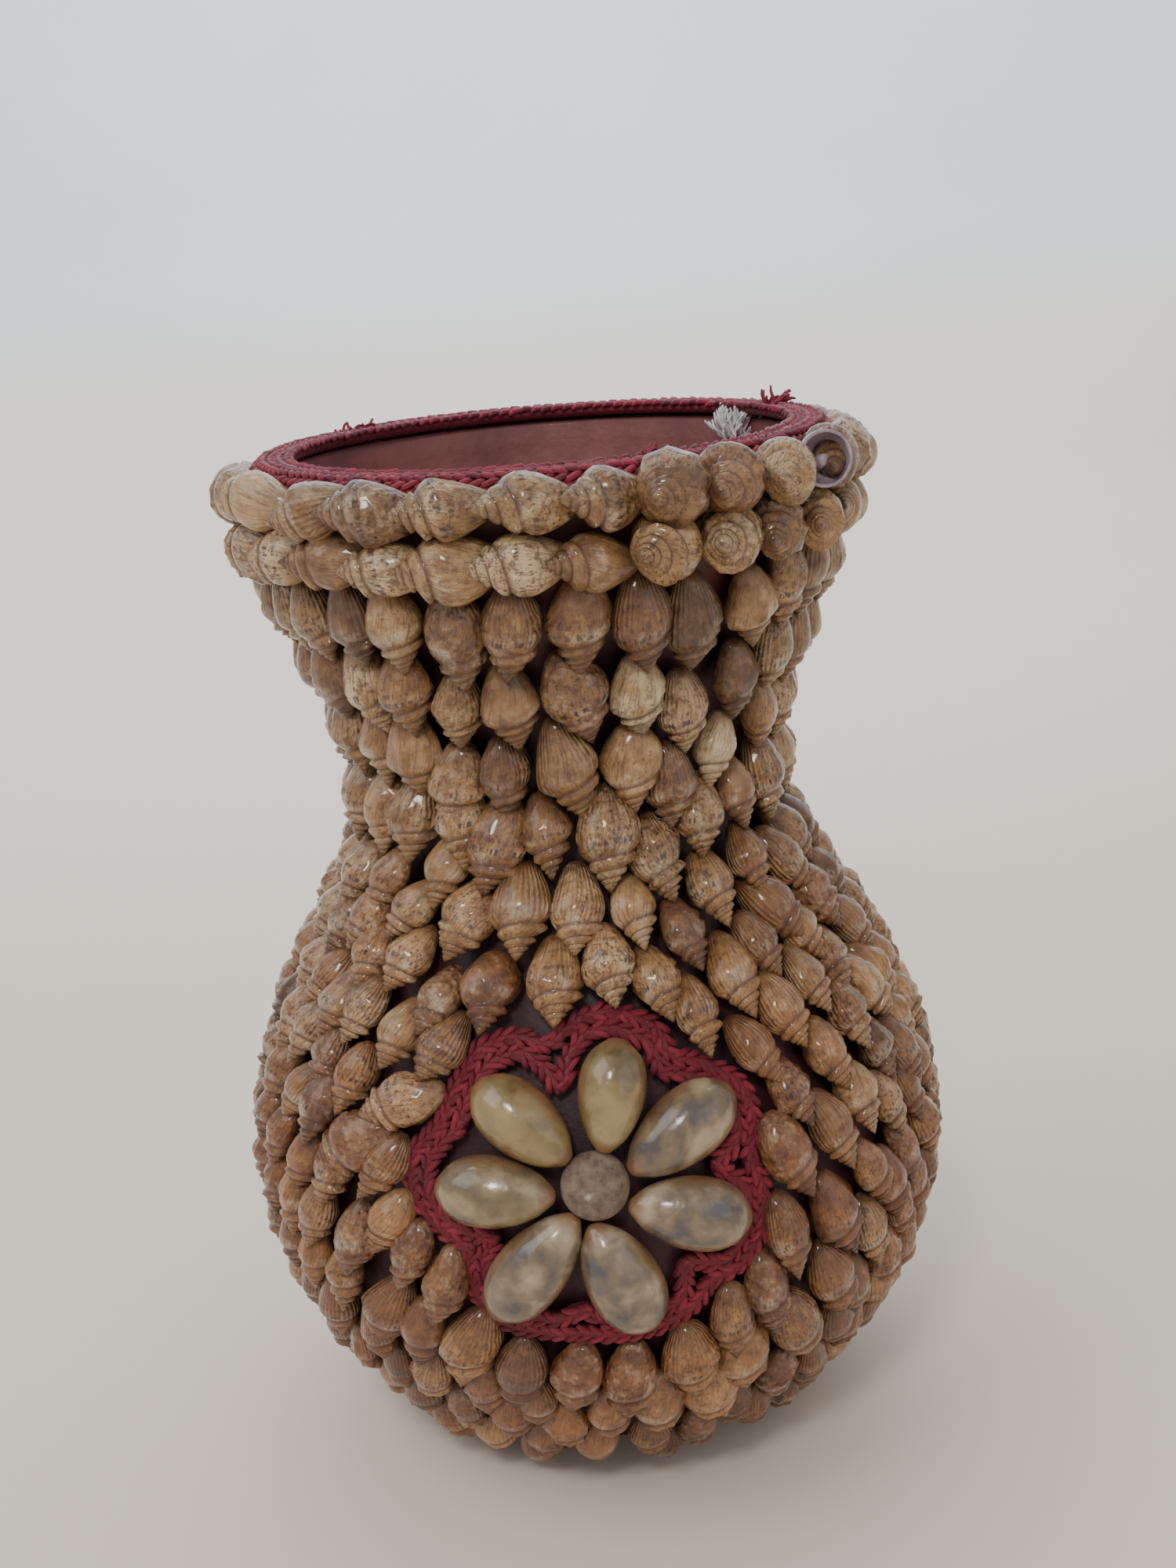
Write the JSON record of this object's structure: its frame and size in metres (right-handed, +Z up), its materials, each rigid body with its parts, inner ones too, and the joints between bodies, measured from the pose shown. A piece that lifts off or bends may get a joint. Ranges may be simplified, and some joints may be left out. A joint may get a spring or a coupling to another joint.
{
  "type": "shell vase",
  "caption": "Turned vase with a flared neck, covered in overlapping rings of small conch shells, with a cowrie flower on the belly and a braided textile rim.",
  "frame": {"origin": "centre of the flat underside, on the surface the vase stands on", "axes": "+Z up along the turning axis, the cowrie flower faces -Y, +X to the right of the flower"},
  "size_m": [0.15, 0.1527, 0.2097],
  "materials": {
    "vase_wall": "painted plum brown, satin",
    "shell": "natural cream and tan sea shell under clear varnish",
    "cowrie": "glossy clouded cowrie shell",
    "button_shell": "dull greyish pink shell",
    "braid": "crimson crocheted chain braid, fibrous"
  },
  "bodies": {
    "root": {"belly_row_01": "shell", "belly_row_02": "shell", "belly_row_03": "shell", "belly_row_04": "shell", "belly_row_05": "shell", "belly_row_06": "shell", "belly_row_07": "shell", "belly_row_08": "shell", "belly_row_09": "shell", "belly_row_10": "shell", "belly_row_11": "shell", "belly_row_12": "shell", "cowrie_petal_1": "cowrie", "cowrie_petal_2": "cowrie", "cowrie_petal_3": "cowrie", "cowrie_petal_4": "cowrie", "cowrie_petal_5": "cowrie", "cowrie_petal_6": "cowrie", "cowrie_petal_7": "cowrie", "flower_braid_inner": "braid", "flower_braid_outer": "braid", "flower_centre": "button_shell", "neck_row_1": "shell", "neck_row_2": "shell", "neck_row_3": "shell", "neck_row_4": "shell", "rim_braid": "braid", "rim_row_lower": "shell", "rim_row_upper": "shell", "vase_body": "vase_wall"}
  },
  "joints": []
}
